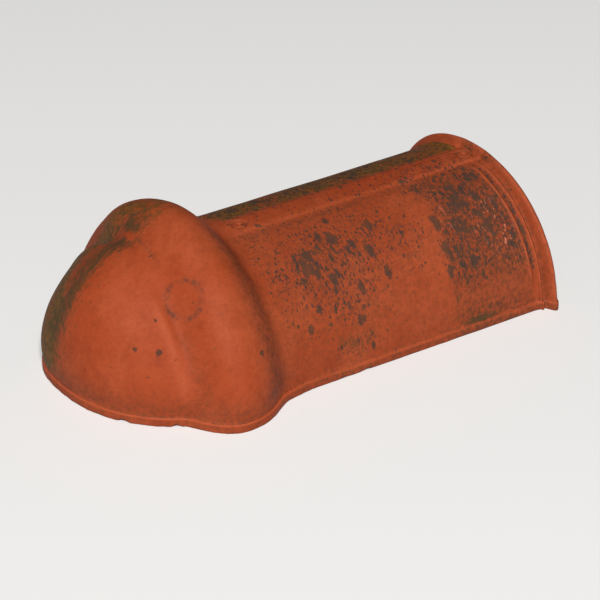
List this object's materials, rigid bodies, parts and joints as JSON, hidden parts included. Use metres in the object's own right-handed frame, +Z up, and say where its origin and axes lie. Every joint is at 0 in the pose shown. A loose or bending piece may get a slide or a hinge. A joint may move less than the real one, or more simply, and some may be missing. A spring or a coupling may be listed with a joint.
{
  "type": "hip starter roof tile",
  "caption": "Half-round fired-clay hip tile whose closed end swells into a double dome, with a beaded collar at the open end and blind nail dimples on its crest.",
  "frame": {"origin": "centre of the base rectangle, on the floor plane that the tile's rim rests on", "axes": "+X along the barrel from the closed domed end to the collar, +Y across it, +Z up from the base to the crest"},
  "size_m": [0.492, 0.3046, 0.163],
  "materials": {
    "terracotta": "matt fired clay, weathered"
  },
  "bodies": {
    "root": {"hip_starter_tile": "terracotta"}
  },
  "joints": []
}
